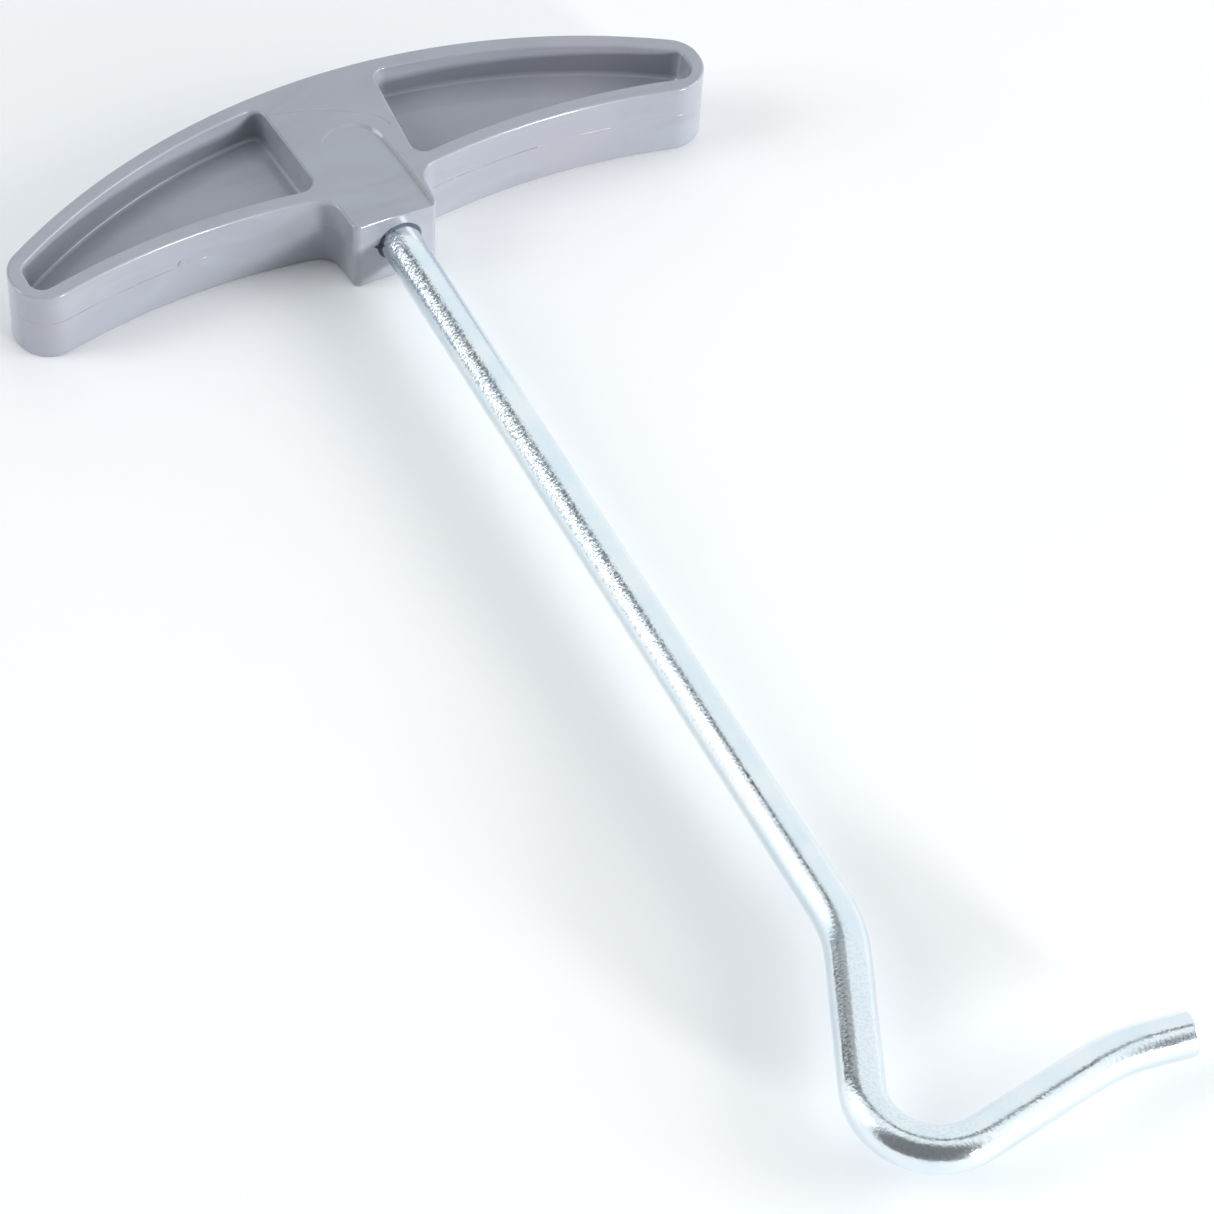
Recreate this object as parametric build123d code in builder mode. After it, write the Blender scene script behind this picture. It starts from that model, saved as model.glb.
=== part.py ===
"""T-handle hook puller: a moulded plastic grip cast round one bent round rod.

Lengths are in millimetres. The tool lies flat: +Z is up, X runs along the grip and the
shaft leaves towards -Y. The origin is on the underside of the grip, in the middle of the
solid pad between its two pockets.
"""

import os

from build123d import *

os.makedirs("parts", exist_ok=True)

# Grip, in plan
palm_y = 16.0  # crown of the palm edge, behind the origin
palm_radius = 112.7
half_length = 63.0
end_radius = 6.0
finger_radius = 115.7  # hollow edge under each pair of fingers
finger_crown_x = 28.2
finger_crown_y = palm_y - 25.7
thickness = 14.2
edge_round = 0.45

# Boss round the shaft
boss_y = palm_y - 35.7
boss_half_width = 7.5
boss_root_half_width = 8.3
boss_root_radius = 4.0
boss_corner_radius = 1.2

# Pockets: one in each wing, from both faces, with a web left between them
wall = 2.65
pocket_depth = 6.1
pocket_lean = 0.5  # how far the walls come in by the floor
pocket_draft = 4.7  # degrees, gives that lean over the depth
pocket_corner_radius = 2.4
pocket_floor_radius = 0.8
pad_back_half_width = 10.6
pad_front_half_width = 8.2

# Shallow arched panel sunk in the upper face over the shaft. Its floor tilts, so that it runs
# out to nothing on the left.
panel_depth = 0.22  # on the centre line
panel_tilt = 2.4
panel_side_spread = 0.5  # the panel's cutter widens by this much over twice the depth
panel_crown_spread = 1.2
panel_half_width = 5.5
panel_side_y = palm_y - 18.0
panel_crown_y = palm_y - 13.4
panel_mid_half_width = 6.3
panel_mid_y = palm_y - 26.0
panel_front_half_width = 6.7

# Shallow crease round the back of the panel
crease_start = (-8.5, palm_y - 5.9)
crease_middle = (-1.8, palm_y - 8.1)
crease_bend = (4.0, palm_y - 11.1)
crease_end = (8.0, palm_y - 16.0)
crease_depth = 0.08
crease_radius = 0.6

# Rod
rod_radius = 3.5
rod_x = 0.6  # the rod stands a little off the grip's centre line
rod_z = 7.95
crank_y = palm_y - 188.9
crank_radius = 22.5
hook_x = -18.4
hook_y = palm_y - 231.9
hook_radius = 10.5
lip_x = 25.7
lip_y = palm_y - 224.5
lip_radius = 35.0
tip_x = 37.4
tip_y = palm_y - 226.3
tip_round = 0.6

# Flattened end of the rod, buried in the pad
anchor_y = palm_y - 6.5
anchor_length = 12.0
anchor_width = 11.0
anchor_thickness = 4.4
anchor_corner_radius = 2.0
anchor_neck_length = 4.0

# Mouth of the hole where the rod leaves the boss
mouth_clearance = 0.5
mouth_taper = 22.0
mouth_depth = 1.1
nick_reach = 4.7  # nick in the mouth's left side, from the rod's axis
nick_base = 2.8
nick_rise = 0.55
nick_half_height = 1.65


def grip_plan():
    """Outline of the grip with its boss."""
    with BuildSketch() as plan:
        with Locations((0, palm_y - palm_radius)):
            Circle(palm_radius)
        with Locations((0, palm_y)):
            Rectangle(2 * half_length, 2 * palm_radius, mode=Mode.INTERSECT)
        with Locations(
            (finger_crown_x, finger_crown_y - finger_radius),
            (-finger_crown_x, finger_crown_y - finger_radius),
        ):
            Circle(finger_radius, mode=Mode.SUBTRACT)
        ends = [v for v in plan.vertices() if abs(v.X) > half_length - end_radius]
        fillet(ends, end_radius)
        with BuildLine():
            Polyline(
                (-boss_root_half_width, finger_crown_y),
                (-boss_half_width, boss_y),
                (boss_half_width, boss_y),
                (boss_root_half_width, finger_crown_y),
                close=True,
            )
        make_face()
        roots = plan.vertices().filter_by(
            lambda v: abs(v.X) < finger_crown_x and v.Y > boss_y + boss_corner_radius
        )
        fillet(roots, boss_root_radius)
        fillet(plan.vertices().group_by(Axis.Y)[0], boss_corner_radius)
    return plan.sketch


def pocket_plan():
    """Outline of the right-hand pocket at the face of the grip."""
    with BuildSketch() as plan:
        with Locations((0, palm_y - palm_radius)):
            Circle(palm_radius - wall)
        with BuildLine():
            Polyline(
                (pad_back_half_width, palm_y),
                (half_length - wall, palm_y),
                (half_length - wall, boss_y),
                (pad_front_half_width, boss_y),
                close=True,
            )
        make_face(mode=Mode.INTERSECT)
        with Locations((finger_crown_x, finger_crown_y - finger_radius)):
            Circle(finger_radius + wall, mode=Mode.SUBTRACT)
        fillet(plan.vertices(), pocket_corner_radius)
    return plan.sketch


def panel_plan(spread, crown_rise):
    """Arch-ended outline of the sunk panel, open past the front of the boss."""
    front_y = boss_y - edge_round
    front = panel_front_half_width + spread
    middle = panel_mid_half_width + spread
    side = panel_half_width + spread
    with BuildSketch() as plan:
        with BuildLine():
            ThreePointArc((-front, front_y), (-middle, panel_mid_y), (-side, panel_side_y))
            ThreePointArc((-side, panel_side_y), (0, panel_crown_y + crown_rise), (side, panel_side_y))
            ThreePointArc((side, panel_side_y), (middle, panel_mid_y), (front, front_y))
            Line((front, front_y), (-front, front_y))
        make_face()
    return plan.sketch


def crease_path():
    """Line of the crease, at the height that leaves a round cutter its depth in the face."""
    with BuildLine(Plane.XY.offset(thickness + crease_radius - crease_depth)) as path:
        ThreePointArc(crease_start, crease_middle, crease_bend)
        TangentArc(crease_bend, crease_end, tangent=path.line % 1)
    return path.line


def rod_path():
    """Centre line of the rod, from the flattened end to the tip of the hook."""
    with BuildLine(Plane.XY.offset(rod_z)) as path:
        Polyline(
            (rod_x, anchor_y - anchor_length),
            (rod_x, crank_y),
            (hook_x, hook_y),
            (lip_x, lip_y),
            (tip_x, tip_y),
        )
        for x, y, radius in (
            (rod_x, crank_y, crank_radius),
            (hook_x, hook_y, hook_radius),
            (lip_x, lip_y, lip_radius),
        ):
            fillet(path.vertices().sort_by_distance((x, y, rod_z))[0], radius)
    return path.line


# Hook: one bent round rod, flattened at its buried end
with BuildPart() as hook_rod:
    with BuildSketch(Plane((rod_x, anchor_y - anchor_length, rod_z), z_dir=(0, -1, 0))):
        Circle(rod_radius)
    sweep(path=rod_path())
    fillet(hook_rod.edges().filter_by(GeomType.CIRCLE).sort_by(Axis.X)[-1], tip_round)
    with BuildSketch(Plane.XY.offset(rod_z - anchor_thickness / 2)):
        with Locations((rod_x, anchor_y)):
            RectangleRounded(
                anchor_width, anchor_length, anchor_corner_radius, align=(Align.CENTER, Align.MAX)
            )
        with Locations((rod_x, anchor_y - anchor_length)):
            Rectangle(2 * anchor_corner_radius, anchor_neck_length, align=(Align.CENTER, Align.MAX))
    extrude(amount=anchor_thickness)
hook_rod.part.label = "hook_rod"

# Grip: one moulding round the rod's buried end
with BuildPart() as grip:
    add(grip_plan())
    extrude(amount=thickness)
    for floor, side in ((thickness - pocket_depth, 1), (pocket_depth, -1)):
        with BuildSketch(Plane.XY.offset(floor)) as bed:
            add(pocket_plan())
            offset(amount=-pocket_lean, mode=Mode.REPLACE)
            mirror(about=Plane.YZ)
        extrude(bed.sketch, amount=side * pocket_depth, taper=-pocket_draft, mode=Mode.SUBTRACT)
        floors = grip.faces().filter_by(Axis.Z).filter_by(lambda f: abs(f.center().Z - floor) < edge_round)
        fillet(floors.edges(), pocket_floor_radius)
    fillet(grip.faces().sort_by(Axis.Z)[-1].edges(), edge_round)
    fillet(grip.faces().sort_by(Axis.Z)[0].edges(), edge_round)
    with BuildSketch(Plane.XY.offset(thickness - panel_depth).rotated((0, panel_tilt, 0))) as panel_floor:
        add(panel_plan(0, 0))
    with BuildSketch(Plane.XY.offset(thickness + panel_depth)) as panel_rim:
        add(panel_plan(panel_side_spread, panel_crown_spread))
    loft([panel_floor.sketch, panel_rim.sketch], ruled=True, mode=Mode.SUBTRACT)
    with BuildSketch(Plane(origin=crease_path() @ 0, z_dir=crease_path() % 0)) as cutter:
        Circle(crease_radius)
    sweep(cutter.sketch, path=crease_path(), mode=Mode.SUBTRACT)
    with BuildSketch(Plane((rod_x, boss_y, rod_z), z_dir=(0, 1, 0))) as mouth:
        Circle(rod_radius + mouth_clearance)
    extrude(mouth.sketch, amount=mouth_depth, taper=mouth_taper, mode=Mode.SUBTRACT)
    with BuildSketch(Plane.XZ.offset(-boss_y)) as nick:
        with BuildLine():
            Polyline(
                (rod_x - nick_reach, rod_z + nick_rise),
                (rod_x - nick_base, rod_z + nick_half_height),
                (rod_x - nick_base, rod_z - nick_half_height),
                close=True,
            )
        make_face()
    extrude(nick.sketch, amount=-mouth_depth, mode=Mode.SUBTRACT)
    add(hook_rod.part, mode=Mode.SUBTRACT)
grip.part.label = "grip"

for piece, name in ((hook_rod, "hook_rod"), (grip, "grip")):
    export_step(piece.part, f"parts/{name}.step")
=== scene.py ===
import math
import bpy
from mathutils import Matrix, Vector


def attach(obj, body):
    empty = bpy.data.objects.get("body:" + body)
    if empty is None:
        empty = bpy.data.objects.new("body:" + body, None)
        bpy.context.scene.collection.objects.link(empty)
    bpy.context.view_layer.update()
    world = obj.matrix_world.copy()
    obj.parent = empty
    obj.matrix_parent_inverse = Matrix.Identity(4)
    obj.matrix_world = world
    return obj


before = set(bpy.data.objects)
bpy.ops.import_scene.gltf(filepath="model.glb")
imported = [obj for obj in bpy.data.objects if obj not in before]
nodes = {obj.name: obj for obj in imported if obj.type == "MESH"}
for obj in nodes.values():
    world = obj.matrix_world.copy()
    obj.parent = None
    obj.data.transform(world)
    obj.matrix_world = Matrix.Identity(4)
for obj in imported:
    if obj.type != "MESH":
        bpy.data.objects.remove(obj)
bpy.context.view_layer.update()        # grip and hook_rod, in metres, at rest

mm = 0.001
smoothAngle = math.radians(50)  # edges sharper than this stay sharp on the new pieces


# small helpers for building node trees

def addNode(tree, kind, **settings):
    node = tree.nodes.new(kind)
    for name, value in settings.items():
        setattr(node, name, value)
    return node


def plug(tree, value, socket):
    if isinstance(value, bpy.types.NodeSocket):
        tree.links.new(value, socket)
    else:
        socket.default_value = value


def calc(tree, operation, *values, clamp=False):
    node = addNode(tree, "ShaderNodeMath", operation=operation, use_clamp=clamp)
    for value, socket in zip(values, node.inputs):
        plug(tree, value, socket)
    return node.outputs[0]


def noise(tree, vector, scale, detail=4.0, roughness=0.55, distortion=0.0):
    node = addNode(tree, "ShaderNodeTexNoise")
    for name, value in (("Vector", vector), ("Scale", scale), ("Detail", detail),
                        ("Roughness", roughness), ("Distortion", distortion)):
        plug(tree, value, node.inputs[name])
    return node.outputs["Fac"]


def spread(tree, value, low, high, newLow=0.0, newHigh=1.0, smooth=False):
    node = addNode(tree, "ShaderNodeMapRange")
    node.interpolation_type = "SMOOTHSTEP" if smooth else "LINEAR"
    for name, setting in (("Value", value), ("From Min", low), ("From Max", high),
                          ("To Min", newLow), ("To Max", newHigh)):
        plug(tree, setting, node.inputs[name])
    return node.outputs["Result"]


def stretch(tree, vector, scale):
    node = addNode(tree, "ShaderNodeMapping")
    plug(tree, vector, node.inputs["Vector"])
    node.inputs["Scale"].default_value = scale
    return node.outputs["Vector"]


def mixColour(tree, amount, first, second):
    node = addNode(tree, "ShaderNodeMix", data_type="RGBA")
    plug(tree, amount, node.inputs["Factor"])
    colourInputs = [socket for socket in node.inputs if socket.type == "RGBA"]
    for value, socket in zip((first, second), colourInputs):
        plug(tree, (*value, 1.0) if isinstance(value, tuple) else value, socket)
    return [socket for socket in node.outputs if socket.type == "RGBA"][0]


def splitAxes(tree, vector):
    node = addNode(tree, "ShaderNodeSeparateXYZ")
    tree.links.new(vector, node.inputs["Vector"])
    return node.outputs


def raised(tree, height, depth, normal=None):
    node = addNode(tree, "ShaderNodeBump")
    plug(tree, height, node.inputs["Height"])
    node.inputs["Distance"].default_value = depth
    if normal is not None:
        plug(tree, normal, node.inputs["Normal"])
    return node.outputs["Normal"]


def newMaterial(name):
    material = bpy.data.materials.new(name)
    material.use_nodes = True
    tree = material.node_tree
    tree.nodes.clear()
    output = addNode(tree, "ShaderNodeOutputMaterial")
    shader = addNode(tree, "ShaderNodeBsdfPrincipled")
    tree.links.new(shader.outputs["BSDF"], output.inputs["Surface"])
    place = addNode(tree, "ShaderNodeTexCoord").outputs["Object"]
    return material, tree, shader, place


# roughness that wanders between two values, used by both finishes

def makeMottle():
    group = bpy.data.node_groups.new("mottle", "ShaderNodeTree")
    for name in ("First", "Second", "Low", "High", "Smoothest", "Roughest"):
        group.interface.new_socket(name, in_out="INPUT", socket_type="NodeSocketFloat")
    group.interface.new_socket("Roughness", in_out="OUTPUT", socket_type="NodeSocketFloat")
    given = addNode(group, "NodeGroupInput").outputs
    blend = calc(group, "MULTIPLY", calc(group, "ADD", given["First"], given["Second"]), 0.5)
    rough = spread(group, blend, given["Low"], given["High"], given["Smoothest"], given["Roughest"])
    group.links.new(rough, addNode(group, "NodeGroupOutput").inputs["Roughness"])
    return group


mottle = makeMottle()


def mottled(tree, first, second, finish):
    node = addNode(tree, "ShaderNodeGroup", node_tree=mottle)
    for name, value in (("First", first), ("Second", second), ("Low", finish["mottleLow"]),
                        ("High", finish["mottleHigh"]), ("Smoothest", finish["smoothest"]),
                        ("Roughest", finish["roughest"])):
        plug(tree, value, node.inputs[name])
    return node.outputs["Roughness"]


# moulded grey plastic

gripFinish = {
    "pale": (0.345, 0.366, 0.414),
    "deep": (0.305, 0.322, 0.372),
    "blush": (0.352, 0.345, 0.400),  # where the melt ran thin and cooled first
    "smoothest": 0.29,
    "roughest": 0.35,
    "mottleLow": 0.30,
    "mottleHigh": 0.70,
    "skin": 0.9,  # glossy resin skin over the flake
    "skinRoughness": 0.12,
    "flowScale": 95.0,
    "flowStretch": (0.45, 1.0, 1.6),  # drawn out along the grip
    "flowSwirl": 1.2,
    "flowRange": (0.34, 0.68),
    "blotchScale": 38.0,
    "blotchRange": (0.50, 0.72),
    "blotchMost": 0.7,
    "scuffScale": 260.0,
    "scuffStretch": (0.35, 1.0, 1.0),
    "grainScale": 1800.0,
    "grainDepth": 0.0025 * mm,
    "rippleScale": 70.0,
    "rippleDepth": 0.03 * mm,
    "seamHeight": 7.95 * mm,
    "seamWidth": 0.12 * mm,
    "seamDepth": 0.05 * mm,
    "breakScale": 160.0,  # the seam comes and goes
    "breakRange": (0.40, 0.56),
}


def mouldedPlastic():
    facts = gripFinish
    material, tree, shader, place = newMaterial("satin_grey_plastic")
    drawnOut = stretch(tree, place, facts["flowStretch"])
    flow = noise(tree, drawnOut, facts["flowScale"], 4.0, 0.55, facts["flowSwirl"])
    blotch = noise(tree, place, facts["blotchScale"], 2.0, 0.5)
    colour = mixColour(tree, spread(tree, flow, *facts["flowRange"]), facts["deep"], facts["pale"])
    blushing = spread(tree, blotch, *facts["blotchRange"], 0.0, facts["blotchMost"])
    colour = mixColour(tree, blushing, colour, facts["blush"])
    scuff = noise(tree, stretch(tree, place, facts["scuffStretch"]), facts["scuffScale"], 2.0, 0.5)
    rough = mottled(tree, flow, scuff, facts)
    height = splitAxes(tree, place)["Z"]
    fromSeam = calc(tree, "ABSOLUTE", calc(tree, "SUBTRACT", height, facts["seamHeight"]))
    seam = spread(tree, fromSeam, 0.0, facts["seamWidth"], 1.0, 0.0, smooth=True)
    broken = spread(tree, noise(tree, place, facts["breakScale"], 3.0), *facts["breakRange"])
    ripple = noise(tree, place, facts["rippleScale"], 2.0, 0.4)
    grain = noise(tree, place, facts["grainScale"], 1.0, 0.5)
    normal = raised(tree, ripple, facts["rippleDepth"])
    normal = raised(tree, grain, facts["grainDepth"], normal)
    normal = raised(tree, calc(tree, "MULTIPLY", seam, broken), facts["seamDepth"], normal)
    tree.links.new(colour, shader.inputs["Base Color"])
    tree.links.new(rough, shader.inputs["Roughness"])
    tree.links.new(normal, shader.inputs["Normal"])
    tree.links.new(normal, shader.inputs["Coat Normal"])
    shader.inputs["Coat Weight"].default_value = facts["skin"]
    shader.inputs["Coat Roughness"].default_value = facts["skinRoughness"]
    return material


# zinc plate on the rod

zincFinish = {
    "bright": (0.86, 0.915, 0.935),
    "blue": (0.78, 0.875, 0.925),
    # dark colour painted as speckle where the rod's dark reflection band falls, not a colour of the zinc
    "paintedDarkReflection": (0.40, 0.44, 0.48),
    "smoothest": 0.10,
    "roughest": 0.26,
    "mottleLow": 0.38,
    "mottleHigh": 0.62,
    "patchScale": 85.0,  # plated heavier here and thinner there
    "patchRange": (0.38, 0.62),
    "crinkleScale": 1900.0,
    "crinkleDepth": 0.032 * mm,
    "hammerScale": 2000.0,
    "paintedSpeckleRange": (0.40, 0.54),
    "hammerDepth": 0.10 * mm,
    "bandSideEdge": (-0.6 * mm, 0.3 * mm),  # the band of painted dark reflection speckle and dents ends here, across the rod
    "bandFoot": (9.2 * mm, 10.3 * mm),  # its lower edge
    "bandFade": (-168.0 * mm, -85.0 * mm),  # and dies away along it
    "bandLeast": 0.12,  # what is left of it at the hook
    "grainScale": 4200.0,
    "grainDepth": 0.006 * mm,
}


def zincPlate():
    facts = zincFinish
    material, tree, shader, place = newMaterial("pale_blue_zinc_plate")
    crinkle = noise(tree, place, facts["crinkleScale"], 2.0, 0.5)
    grain = noise(tree, place, facts["grainScale"], 2.0, 0.5)
    patches = noise(tree, place, facts["patchScale"], 3.0, 0.5)
    tint = mixColour(tree, spread(tree, patches, *facts["patchRange"]), facts["bright"], facts["blue"])
    axes = splitAxes(tree, place)
    # mask for the rod's upper near side, strongest by the grip: dark speckle is painted here as a painted
    # reflection, and the same mask places the real dents
    side = spread(tree, axes["X"], *facts["bandSideEdge"], 1.0, 0.0, smooth=True)
    foot = spread(tree, axes["Z"], *facts["bandFoot"], smooth=True)
    along = spread(tree, axes["Y"], *facts["bandFade"], facts["bandLeast"], 1.0, smooth=True)
    reflectionBandAndDents = calc(tree, "MULTIPLY", calc(tree, "MULTIPLY", side, foot), along)
    dentAndSpeckleNoise = noise(tree, place, facts["hammerScale"], 2.0, 0.55)
    paintedReflectionSpeckle = calc(tree, "MULTIPLY", spread(tree, dentAndSpeckleNoise, *facts["paintedSpeckleRange"], 1.0, 0.0), reflectionBandAndDents)
    # mixes the painted dark reflection speckle into the zinc colour
    colour = mixColour(tree, paintedReflectionSpeckle, tint, facts["paintedDarkReflection"])
    rough = mottled(tree, grain, patches, facts)
    normal = raised(tree, crinkle, facts["crinkleDepth"])
    normal = raised(tree, calc(tree, "MULTIPLY", dentAndSpeckleNoise, reflectionBandAndDents), facts["hammerDepth"], normal)
    normal = raised(tree, grain, facts["grainDepth"], normal)
    tree.links.new(colour, shader.inputs["Base Color"])
    tree.links.new(rough, shader.inputs["Roughness"])
    tree.links.new(normal, shader.inputs["Normal"])
    shader.inputs["Metallic"].default_value = 1.0
    return material


def dress(node, material):
    node.data.materials.clear()
    node.data.materials.append(material)


plastic = mouldedPlastic()
dress(nodes["grip"], plastic)
dress(nodes["hook_rod"], zincPlate())
print("finishes on")


# moulding marks on the grip: flash along the mould's parting line, and the gate's pip

flash = {
    "height": 7.95 * mm,
    "thickness": 0.30 * mm,
    "proud": 0.11 * mm,
    "root": 0.08 * mm,  # how far it goes on into the wall
    "backOfWall": -8.0 * mm,  # nothing behind this is kept
    "mergeDistance": 0.001 * mm,
    "runs": ((-58.5, -50.0), (-49.6, -43.2), (-42.6, -36.0), (11.2, 14.8), (15.6, 20.0), (20.5, 30.9)),
}

pip = {
    "middle": (-34.3 * mm, -9.86 * mm, 8.55 * mm),
    "lean": math.radians(3.0),  # the hollow edge faces a little inwards here
    "radius": 0.72 * mm,
    "proud": 0.12 * mm,
    "root": 0.25 * mm,
    "rim": 0.10 * mm,
    "rimSegments": 3,
    "landWidth": 2.2,  # in rims, like the dish
    "dishDepth": 0.3,
    "sides": 32,
}


def soloEdit(piece, what="VERT"):
    bpy.ops.object.select_all(action="DESELECT")
    piece.select_set(True)
    bpy.context.view_layer.objects.active = piece
    bpy.ops.object.mode_set(mode="EDIT")
    bpy.ops.mesh.select_mode(type=what)
    bpy.ops.mesh.select_all(action="SELECT")


def cutAway(place, facing, keepAbove):
    bpy.ops.mesh.select_all(action="SELECT")
    bpy.ops.mesh.bisect(plane_co=place, plane_no=facing, clear_inner=keepAbove, clear_outer=not keepAbove)


def flashRun(name, start, end):
    run = bpy.data.objects.new(name, nodes["grip"].data.copy())
    bpy.context.scene.collection.objects.link(run)
    soloEdit(run)
    bpy.ops.mesh.remove_doubles(threshold=flash["mergeDistance"])
    half = flash["thickness"] / 2
    cutAway((0, 0, flash["height"] - half), (0, 0, 1), True)
    cutAway((0, 0, flash["height"] + half), (0, 0, 1), False)
    cutAway((start, 0, 0), (1, 0, 0), True)
    cutAway((end, 0, 0), (1, 0, 0), False)
    cutAway((0, flash["backOfWall"], 0), (0, 1, 0), False)
    bpy.ops.mesh.select_all(action="SELECT")
    bpy.ops.mesh.bisect(plane_co=(0, 0, flash["height"]), plane_no=(0, 0, 1))
    bpy.ops.transform.shrink_fatten(value=flash["proud"])
    bpy.ops.object.mode_set(mode="OBJECT")
    skin = run.modifiers.new("skin", "SOLIDIFY")
    skin.thickness = flash["root"]
    skin.offset = -1.0
    bpy.ops.object.modifier_apply(modifier=skin.name)
    run.data.materials.clear()
    run.data.materials.append(plastic)
    bpy.ops.object.shade_smooth_by_angle(angle=smoothAngle)
    return run


def makeFlash():
    runs = [flashRun(f"flash_run_{i}", start * mm, end * mm) for i, (start, end) in enumerate(flash["runs"])]
    bpy.ops.object.select_all(action="DESELECT")
    for run in runs:
        run.select_set(True)
    bpy.context.view_layer.objects.active = runs[0]
    bpy.ops.object.join()
    piece = bpy.context.object
    piece.name = "parting_line_flash"
    return piece


def makePip():
    bpy.ops.object.select_all(action="DESELECT")
    depth = pip["proud"] + pip["root"]
    x, y, z = pip["middle"]
    bpy.ops.mesh.primitive_cylinder_add(
        vertices=pip["sides"], radius=pip["radius"], depth=depth,
        location=(x, y - pip["proud"] + depth / 2, z), rotation=(math.radians(90), 0, pip["lean"]))
    button = bpy.context.object
    button.name = "gate_pip"
    bpy.ops.object.transform_apply(location=True, rotation=True, scale=True)
    soloEdit(button, "FACE")
    bpy.ops.mesh.select_all(action="DESELECT")
    bpy.ops.object.mode_set(mode="OBJECT")
    for face in button.data.polygons:
        face.select = face.normal.y < -0.9
    bpy.ops.object.mode_set(mode="EDIT")
    bpy.ops.mesh.bevel(offset=pip["rim"], segments=pip["rimSegments"], affect="EDGES")
    bpy.ops.object.mode_set(mode="OBJECT")
    for face in button.data.polygons:
        face.select = face.normal.y < -0.999 and len(face.vertices) > 8
    bpy.ops.object.mode_set(mode="EDIT")
    bpy.ops.mesh.inset(thickness=pip["landWidth"] * pip["rim"])
    bpy.ops.mesh.inset(thickness=pip["rim"], depth=-pip["dishDepth"] * pip["rim"])
    bpy.ops.object.mode_set(mode="OBJECT")
    button.data.materials.append(plastic)
    bpy.ops.object.shade_smooth_by_angle(angle=smoothAngle)
    return button


for mark in (makeFlash(), makePip()):
    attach(mark, "root")
print("moulding marks made")


# floor, backdrop light, softboxes and camera

stage = {
    "floorSide": 3.0,
    "floorGap": 0.02 * mm,  # keeps the floor clear of the grip's underside
    "floorColour": (0.97, 0.975, 0.98),
    "floorRoughness": 0.7,
    "cloudShade": 0.985,
    "cloudScale": 9.0,
    "cloudRange": (0.3, 0.7),
    "tentColour": (0.93, 0.97, 1.0),
    "backdropStrength": 0.98,
    "panelStrength": 1.05,
    "doorStrength": 0.2,
    "flapStrength": 0.5,
    "backdrop": (139.0, 0.0),  # turn from the front towards the right, and tilt up, in degrees
    "flap": (-165.0, 40.0),
    "door": (-36.0, 28.0),
    "backdropEdge": (0.29, 0.36),  # each edge runs between two cosines of the angle from its middle
    "panelEdge": (0.17, 0.24),
    "flapEdge": (0.93, 0.965),
    "doorEdge": (0.50, 0.75),
    "middle": (0.0, -0.08, 0.0),
}

softboxes = {
    "keySoftbox": {"turn": 60.0, "tilt": 22.0, "away": 1.2, "width": 0.62, "height": 0.56,
                   "watts": 5.8, "colour": (1.0, 0.99, 0.985)},
    "edgeSoftbox": {"turn": 19.0, "tilt": 9.0, "away": 1.2, "width": 0.18, "height": 0.09,
                    "watts": 9.6, "colour": (1.0, 1.0, 1.0)},
    "sideSoftbox": {"turn": -112.0, "tilt": 30.0, "away": 1.2, "width": 0.45, "height": 0.80,
                    "watts": 4.6, "colour": (0.98, 0.99, 1.0)},
}

view = {
    "place": (-0.21920, -0.48167, 0.54647),
    "turn": (38.885, -2.260, -26.908),  # degrees
    "lens": 132.46,
    "sensor": 36.0,
}


def towards(turn, tilt):
    around, up = math.radians(turn), math.radians(tilt)
    return Vector((math.sin(around) * math.cos(up), -math.cos(around) * math.cos(up), math.sin(up)))


def makeFloor():
    bpy.ops.object.select_all(action="DESELECT")
    x, y, z = stage["middle"]
    bpy.ops.mesh.primitive_plane_add(size=stage["floorSide"], location=(x, y, z - stage["floorGap"]))
    floor = bpy.context.object
    floor.name = "pale_floor"
    bpy.ops.object.transform_apply(location=True, rotation=True, scale=True)
    material, tree, shader, place = newMaterial("matte_pale_floor")
    tint = tuple(stage["cloudShade"] * channel for channel in stage["floorColour"])
    cloud = spread(tree, noise(tree, place, stage["cloudScale"]), *stage["cloudRange"])
    tree.links.new(mixColour(tree, cloud, tint, stage["floorColour"]), shader.inputs["Base Color"])
    shader.inputs["Roughness"].default_value = stage["floorRoughness"]
    floor.data.materials.append(material)


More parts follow.
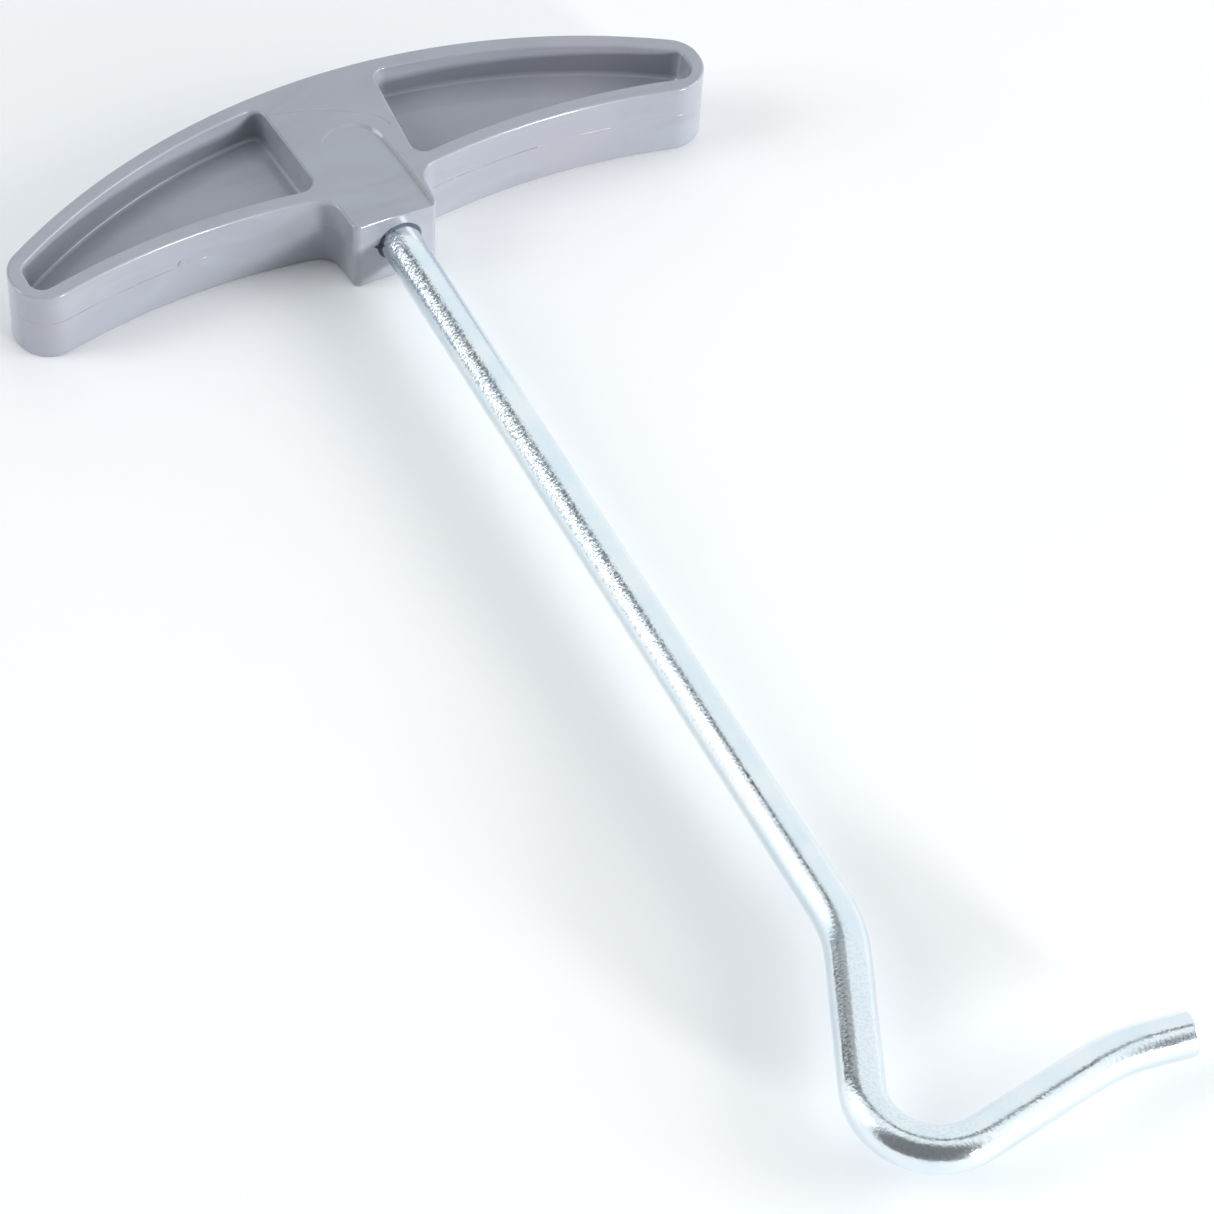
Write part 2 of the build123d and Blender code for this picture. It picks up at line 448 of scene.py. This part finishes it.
def makeWorld():
    world = bpy.data.worlds.new("white_tent")
    bpy.context.scene.world = world
    world.use_nodes = True
    tree = world.node_tree
    background = tree.nodes["Background"]
    background.inputs["Color"].default_value = (*stage["tentColour"], 1.0)
    skyward = addNode(tree, "ShaderNodeTexCoord").outputs["Generated"]

    def facing(direction):
        along = addNode(tree, "ShaderNodeVectorMath", operation="DOT_PRODUCT")
        tree.links.new(skyward, along.inputs[0])
        along.inputs[1].default_value = towards(*direction)
        return along.outputs["Value"]

    behind = facing(stage["backdrop"])
    cloth = spread(tree, behind, *stage["backdropEdge"], 0.0, stage["backdropStrength"], smooth=True)
    flap = spread(tree, facing(stage["flap"]), *stage["flapEdge"], 1.0, stage["flapStrength"], smooth=True)
    panels = spread(tree, behind, *stage["panelEdge"], stage["panelStrength"], 0.0, smooth=True)
    door = spread(tree, facing(stage["door"]), *stage["doorEdge"], 1.0, stage["doorStrength"], smooth=True)
    tent = calc(tree, "ADD", calc(tree, "MULTIPLY", cloth, flap), calc(tree, "MULTIPLY", panels, door))
    tree.links.new(tent, background.inputs["Strength"])


def makeSoftbox(name, facts):
    lamp = bpy.data.lights.new(name, "AREA")
    lamp.shape = "RECTANGLE"
    lamp.size = facts["width"]
    lamp.size_y = facts["height"]
    lamp.energy = facts["watts"]
    lamp.color = facts["colour"]
    holder = bpy.data.objects.new(name, lamp)
    bpy.context.scene.collection.objects.link(holder)
    outward = towards(facts["turn"], facts["tilt"])
    holder.location = Vector(stage["middle"]) + facts["away"] * outward
    holder.rotation_euler = outward.to_track_quat("Z", "Y").to_euler()


def makeCamera():
    lens = bpy.data.cameras.new("view_camera")
    lens.lens = view["lens"]
    lens.sensor_width = view["sensor"]
    lens.sensor_fit = "HORIZONTAL"
    lens.clip_start = 0.01
    camera = bpy.data.objects.new("view_camera", lens)
    bpy.context.scene.collection.objects.link(camera)
    camera.location = view["place"]
    camera.rotation_euler = [math.radians(angle) for angle in view["turn"]]
    bpy.context.scene.camera = camera


makeFloor()
makeWorld()
for name, facts in softboxes.items():
    makeSoftbox(name, facts)
makeCamera()
bpy.context.scene.view_settings.view_transform = "Standard"
print("stage set")
